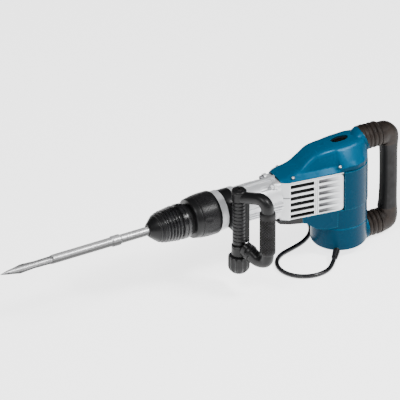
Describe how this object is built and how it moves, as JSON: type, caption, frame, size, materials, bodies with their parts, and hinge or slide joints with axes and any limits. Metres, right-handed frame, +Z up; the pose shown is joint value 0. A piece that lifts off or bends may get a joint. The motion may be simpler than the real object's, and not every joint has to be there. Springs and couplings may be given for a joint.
{
  "type": "demolition hammer",
  "caption": "Corded demolition hammer with a vertical motor, pointed chisel, clamped side handle and sprung rear D-handle.",
  "frame": {"origin": "centre of the flat underside of the motor housing, on the vertical motor axis", "axes": "+Z up the motor axis, +X towards the rear handle with the chisel pointing along -X, -Y towards the side handle"},
  "size_m": [0.945, 0.4043, 0.2556],
  "materials": {
    "blue_shell": "satin",
    "cast_aluminium": "satin",
    "light_panel": "satin",
    "black_plastic": "satin",
    "black_rubber": "matte",
    "handle_rubber": "matte",
    "bright_steel": "polished",
    "dark_steel": "satin",
    "copper": "satin",
    "brass": "satin",
    "carbon": "matte"
  },
  "bodies": {
    "housing": {"front_ring": "cast_aluminium", "neck_housing": "cast_aluminium", "flange_screws": "dark_steel", "gear_housing": "cast_aluminium", "grille_left": "light_panel", "grille_right": "light_panel", "grille_liners": "black_plastic", "lower_guard": "black_plastic", "motor_fairing": "blue_shell", "motor_housing": "blue_shell", "motor_end_cap": "blue_shell", "top_cover": "blue_shell", "switch_bezel": "black_plastic", "cover_screws": "dark_steel", "stator": "dark_steel", "motor_bearings": "bright_steel", "bearing_seat": "cast_aluminium", "carbon_brushes": "carbon", "brush_holders": "brass", "hammer_tube": "dark_steel", "shaft_seal": "black_rubber", "cord_relief": "black_rubber", "cord_tube": "black_rubber", "cord_coil": "black_rubber", "cord_tail": "black_rubber", "plug_body": "black_rubber", "plug_pins": "brass"},
    "tool_holder": {"tool_holder": "dark_steel"},
    "roller_upper": {"roller_upper": "bright_steel"},
    "roller_lower": {"roller_lower": "bright_steel"},
    "locking_sleeve": {"dust_cap": "black_rubber", "locking_sleeve": "black_rubber", "lock_spring": "dark_steel"},
    "adjusting_ring": {"adjusting_ring": "black_plastic"},
    "chisel": {"chisel": "bright_steel"},
    "clamp": {"clamp_band": "dark_steel", "clamp_column": "black_plastic", "clamp_bolt": "dark_steel"},
    "side_grip": {"side_grip": "black_plastic", "side_grip_sleeve": "black_rubber", "side_grip_cap": "black_plastic"},
    "clamp_nut": {"clamp_nut": "black_plastic"},
    "rear_handle": {"rear_handle": "handle_rubber", "grip_insert": "black_rubber", "bellows_upper": "black_rubber", "bellows_lower": "black_rubber", "handle_rods": "bright_steel", "handle_springs": "dark_steel"},
    "power_switch": {"power_switch": "black_plastic"},
    "speed_wheel": {"speed_wheel": "black_plastic"},
    "armature": {"armature_core": "dark_steel", "commutator": "copper", "armature_shaft": "bright_steel", "cooling_fan": "black_plastic"},
    "crank": {"crank_gear": "dark_steel"},
    "conrod": {"conrod": "cast_aluminium", "wrist_pin": "bright_steel"},
    "piston": {"piston": "bright_steel"},
    "striker": {"striker": "bright_steel"},
    "anvil": {"anvil": "bright_steel"}
  },
  "joints": [
    {"name": "chisel_angle", "type": "hinge", "parent": "housing", "child": "tool_holder", "pos_m": [-0.38, 0, 0.144], "axis": [1, 0, 0], "continuous": true},
    {"name": "sleeve_pull", "type": "slide", "parent": "tool_holder", "child": "locking_sleeve", "axis": [1, 0, 0], "range_m": [0, 0.005], "stiffness_N_per_m": 2500, "springref_m": -0.002, "deforming": ["lock_spring"]},
    {"name": "roller_upper_lift", "type": "slide", "parent": "tool_holder", "child": "roller_upper", "axis": [0, 0, 1], "range_m": [0, 0.0025]},
    {"name": "roller_lower_lift", "type": "slide", "parent": "tool_holder", "child": "roller_lower", "axis": [0, 0, -1], "range_m": [0, 0.0025]},
    {"name": "ring_release", "type": "slide", "parent": "tool_holder", "child": "adjusting_ring", "axis": [-1, 0, 0], "range_m": [0, 0.003], "stiffness_N_per_m": 3000, "springref_m": -0.002},
    {"name": "chisel_play", "type": "slide", "parent": "tool_holder", "child": "chisel", "axis": [-1, 0, 0], "range_m": [0, 0.012]},
    {"name": "clamp_swivel", "type": "hinge", "parent": "housing", "child": "clamp", "pos_m": [-0.259, 0, 0.144], "axis": [1, 0, 0], "continuous": true},
    {"name": "grip_swing", "type": "hinge", "parent": "clamp", "child": "side_grip", "pos_m": [-0.259, -0.054, 0.14], "axis": [0, 0, 1], "range_deg": [-55, 50]},
    {"name": "nut_turn", "type": "hinge", "parent": "clamp", "child": "clamp_nut", "pos_m": [-0.259, -0.054, 0.055], "axis": [0, 0, 1], "continuous": true},
    {"name": "handle_float", "type": "slide", "parent": "housing", "child": "rear_handle", "axis": [-1, 0, 0], "range_m": [0, 0.006], "stiffness_N_per_m": 9000, "springref_m": -0.001, "deforming": ["bellows_upper", "bellows_lower", "handle_springs"]},
    {"name": "switch_press", "type": "hinge", "parent": "housing", "child": "power_switch", "pos_m": [0, 0, 0.2176], "axis": [0, 1, 0], "range_deg": [0, 7]},
    {"name": "speed_turn", "type": "hinge", "parent": "housing", "child": "speed_wheel", "pos_m": [0, 0.0512, 0.15], "axis": [0, 0, 1], "range_deg": [-150, 150]},
    {"name": "crank_spin", "type": "hinge", "parent": "housing", "child": "crank", "pos_m": [-0.041, 0, 0.118], "axis": [0, 0, 1], "continuous": true},
    {"name": "armature_spin", "type": "hinge", "parent": "housing", "child": "armature", "pos_m": [0, 0, 0.06], "axis": [0, 0, 1], "continuous": true},
    {"name": "conrod_swing", "type": "hinge", "parent": "crank", "child": "conrod", "pos_m": [-0.029, 0, 0.144], "axis": [0, 0, 1], "continuous": true},
    {"name": "piston_stroke", "type": "slide", "parent": "housing", "child": "piston", "axis": [-1, 0, 0], "range_m": [0, 0.018]},
    {"name": "striker_flight", "type": "slide", "parent": "housing", "child": "striker", "axis": [-1, 0, 0], "range_m": [0, 0.01]},
    {"name": "anvil_travel", "type": "slide", "parent": "housing", "child": "anvil", "axis": [-1, 0, 0], "range_m": [0, 0.001]}
  ],
  "couplings": [
    {"joint": "roller_upper_lift", "follows": "sleeve_pull", "ratio": 0.5},
    {"joint": "roller_lower_lift", "follows": "sleeve_pull", "ratio": 0.5},
    {"joint": "armature_spin", "follows": "crank_spin", "ratio": -4},
    {"joint": "conrod_swing", "follows": "crank_spin", "ratio": -1}
  ]
}
